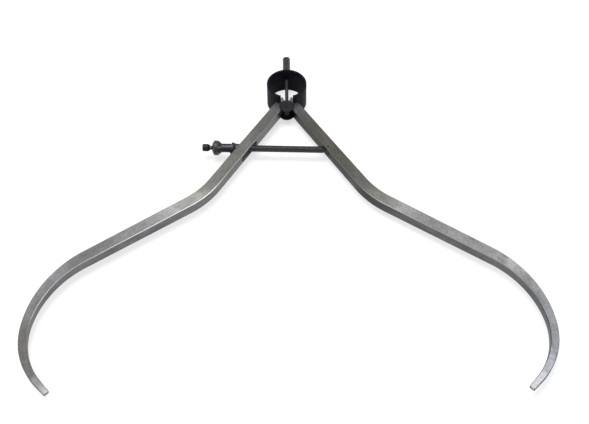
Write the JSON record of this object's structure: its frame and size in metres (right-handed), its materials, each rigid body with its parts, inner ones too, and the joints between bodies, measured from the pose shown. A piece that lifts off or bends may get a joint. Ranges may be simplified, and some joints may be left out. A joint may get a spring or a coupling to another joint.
{
  "type": "outside caliper",
  "caption": "Outside caliper with curved tapering legs on a roller, a round bow spring, a knurled handle and a cross screw with a quick-acting nut.",
  "frame": {"origin": "on the handle's axis, where the handle's foot meets the crest of the bow, halfway through the band's width", "axes": "+Y along the handle, away from the legs; +X from the left leg to the right leg, the longest extent; +Z out of the front, the shortest extent, with the caliper lying flat"},
  "size_m": [0.3732, 0.3197, 0.023],
  "materials": {
    "bright_steel": "satin, ground across the leg",
    "black_oxide": "black oxide, oiled",
    "handle_black": "black oxide on fine knurling",
    "screw_black": "black oxide, worn on the thread's crests",
    "rod_black": "black oxide",
    "nut_black": "black oxide on knurling",
    "spring_wire": "drawn wire"
  },
  "bodies": {
    "head": {"bow_spring": "black_oxide", "handle": "handle_black", "tie_rod": "rod_black", "fulcrum_roller": "black_oxide", "front_cheek_washer": "black_oxide", "rear_cheek_washer": "black_oxide"},
    "left_leg": {"left_leg": "bright_steel"},
    "right_leg": {"right_leg": "bright_steel", "swivel_pin": "rod_black"},
    "screw": {"adjusting_screw": "screw_black", "stop_button": "nut_black"},
    "seat": {"nut_seat": "black_oxide"},
    "nut": {"nut_flange": "nut_black", "nut_jaw_front": "black_oxide", "nut_jaw_rear": "black_oxide", "nut_ring": "spring_wire"}
  },
  "joints": [
    {"name": "right_leg_swing", "type": "hinge", "parent": "head", "child": "right_leg", "pos_m": [0, -0.037, 0], "axis": [0, 0, 1], "range_deg": [-32.1, 1.3], "deforming": ["bow_spring"]},
    {"name": "left_leg_swing", "type": "hinge", "parent": "head", "child": "left_leg", "pos_m": [0, -0.037, 0], "axis": [0, 0, 1], "range_deg": [-1.3, 32.1]},
    {"name": "screw_swivel", "type": "hinge", "parent": "right_leg", "child": "screw", "pos_m": [0.03279, -0.08136, 0], "axis": [0, 0, 1], "range_deg": [-1.3, 32.1]},
    {"name": "seat_swivel", "type": "hinge", "parent": "left_leg", "child": "seat", "pos_m": [-0.03581, -0.07897, 0], "axis": [0, 0, 1], "range_deg": [-32.1, 1.3]},
    {"name": "nut_spin", "type": "hinge", "parent": "seat", "child": "nut", "pos_m": [-0.03581, -0.07897, 0], "axis": [-0.9994, 0.0349, 0], "continuous": true}
  ],
  "couplings": [
    {"joint": "left_leg_swing", "follows": "right_leg_swing", "ratio": -1},
    {"joint": "screw_swivel", "follows": "right_leg_swing", "ratio": -1},
    {"joint": "seat_swivel", "follows": "right_leg_swing", "ratio": 1}
  ]
}
